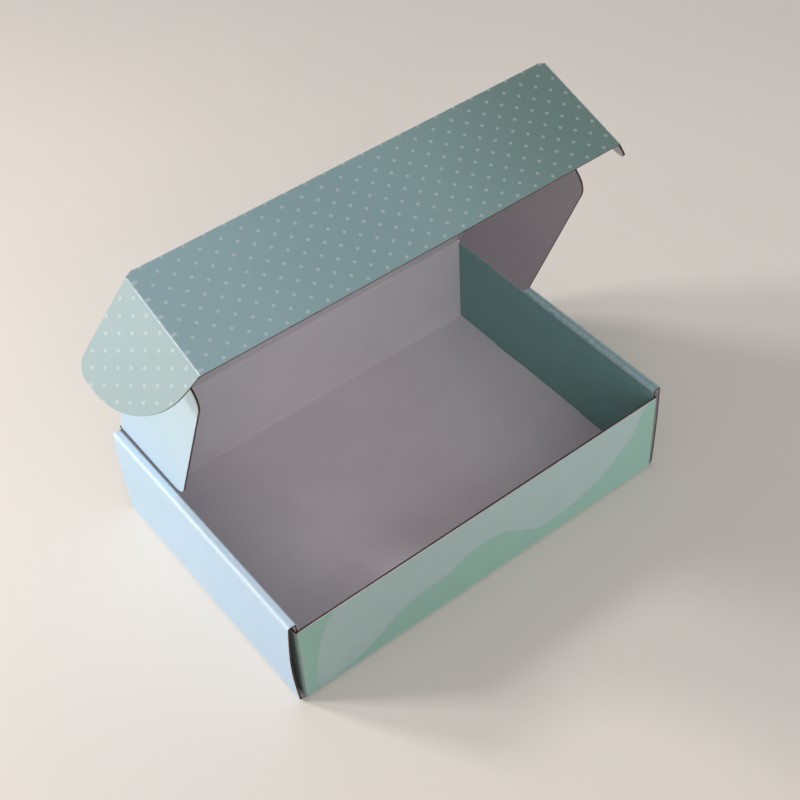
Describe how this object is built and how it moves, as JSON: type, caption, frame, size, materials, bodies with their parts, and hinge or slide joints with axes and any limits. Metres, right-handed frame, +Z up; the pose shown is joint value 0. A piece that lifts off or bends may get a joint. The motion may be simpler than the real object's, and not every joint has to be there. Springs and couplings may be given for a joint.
{
  "type": "roll-end mailer box",
  "caption": "Corrugated mailer box with rolled side walls, an open hinged lid, side wings and a front panel with rounded locking ears.",
  "frame": {"origin": "middle of the tray's underside", "axes": "+X along the front wall to the right as seen from the front, +Y from the front wall to the lid's hinge, +Z up"},
  "size_m": [0.3727, 0.207, 0.2722],
  "materials": {
    "printed_board": "satin print",
    "lid_board": "satin print",
    "pale_board": "satin print"
  },
  "bodies": {
    "tray": {"tray": "printed_board"},
    "lid": {"lid": "lid_board"},
    "front_panel": {"front_panel": "printed_board"},
    "left_wing": {"left_wing": "pale_board"},
    "right_wing": {"right_wing": "pale_board"},
    "left_ear": {"left_ear": "printed_board"},
    "right_ear": {"right_ear": "printed_board"}
  },
  "joints": [
    {"name": "lid_hinge", "type": "hinge", "parent": "tray", "child": "lid", "pos_m": [0, 0.1035, 0.078], "axis": [-1, 0, 0], "range_deg": [-67, 113]},
    {"name": "front_panel_fold", "type": "hinge", "parent": "lid", "child": "front_panel", "pos_m": [0, 0.02106, 0.27223], "axis": [-1, 0, 0], "range_deg": [-4.5, 85.5]},
    {"name": "left_wing_fold", "type": "hinge", "parent": "lid", "child": "left_wing", "pos_m": [-0.1453, 0.1035, 0.078], "axis": [0, 0.3907, -0.9205], "range_deg": [-10, 25]},
    {"name": "right_wing_fold", "type": "hinge", "parent": "lid", "child": "right_wing", "pos_m": [0.1453, 0.1035, 0.078], "axis": [0, -0.3907, 0.9205], "range_deg": [-10, 25]},
    {"name": "left_ear_fold", "type": "hinge", "parent": "front_panel", "child": "left_ear", "pos_m": [-0.1507, 0.02106, 0.27223], "axis": [0, 0.9483, 0.3173], "range_deg": [-40, 50]},
    {"name": "right_ear_fold", "type": "hinge", "parent": "front_panel", "child": "right_ear", "pos_m": [0.1507, 0.02106, 0.27223], "axis": [0, -0.9483, -0.3173], "range_deg": [-33, 57]}
  ]
}
